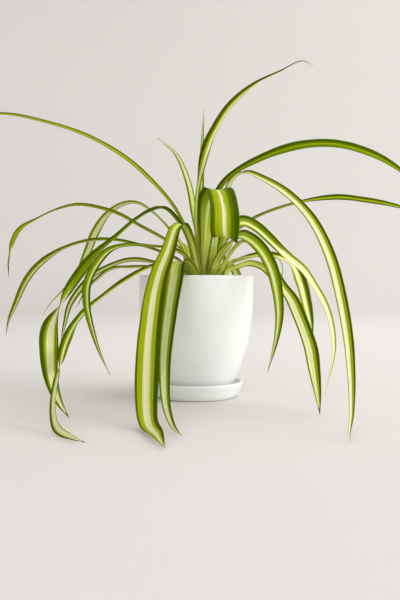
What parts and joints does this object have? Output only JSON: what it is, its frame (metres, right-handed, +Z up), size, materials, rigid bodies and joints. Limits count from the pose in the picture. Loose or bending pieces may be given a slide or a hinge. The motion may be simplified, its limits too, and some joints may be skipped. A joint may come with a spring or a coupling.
{
  "type": "potted spider plant",
  "caption": "Potted spider plant: a rosette of long arching green leaves with a cream centre stripe, grown from a short crown in a white glazed pot that stands in its own saucer.",
  "frame": {"origin": "centre of the saucer's flat underside, on the surface that the pot stands on", "axes": "+Z up, +X to the right and -Y towards the viewer of the front, where the longest leaves lie along the surface"},
  "size_m": [0.5705, 0.5182, 0.3849],
  "materials": {
    "glaze": "smooth white gloss glaze",
    "soil": "loose dark potting soil, matt",
    "crown": "pale fleshy leaf bases",
    "leaf": "satin leaf, green margins and a cream centre stripe"
  },
  "bodies": {
    "root": {"saucer": "glaze", "pot": "glaze", "soil": "soil", "crown": "crown", "leaf_tall_right": "leaf", "leaf_upright_thin": "leaf", "leaf_lean_left": "leaf", "leaf_far_left": "leaf", "leaf_high_right": "leaf", "leaf_long_right": "leaf", "leaf_thin_right": "leaf", "leaf_pale_right": "leaf", "leaf_back_right": "leaf", "leaf_hook_right": "leaf", "leaf_striped_right": "leaf", "leaf_large_right": "leaf", "leaf_low_right": "leaf", "leaf_broad_front": "leaf", "leaf_front_long": "leaf", "leaf_front_short": "leaf", "leaf_kinked_left": "leaf", "leaf_low_left_long": "leaf", "leaf_outer_left_high": "leaf", "leaf_outer_left_mid": "leaf", "leaf_drop_left": "leaf", "leaf_back_left_arc": "leaf", "leaf_low_left_a": "leaf", "leaf_low_left_b": "leaf", "leaf_back_centre": "leaf", "leaf_back_centre_right": "leaf", "leaf_back_centre_left": "leaf", "leaf_back_low_left": "leaf", "leaf_back_low_centre": "leaf", "leaf_back_low_right": "leaf", "leaf_back_outer_right": "leaf", "leaf_young_left": "leaf", "leaf_young_right": "leaf"}
  },
  "joints": []
}
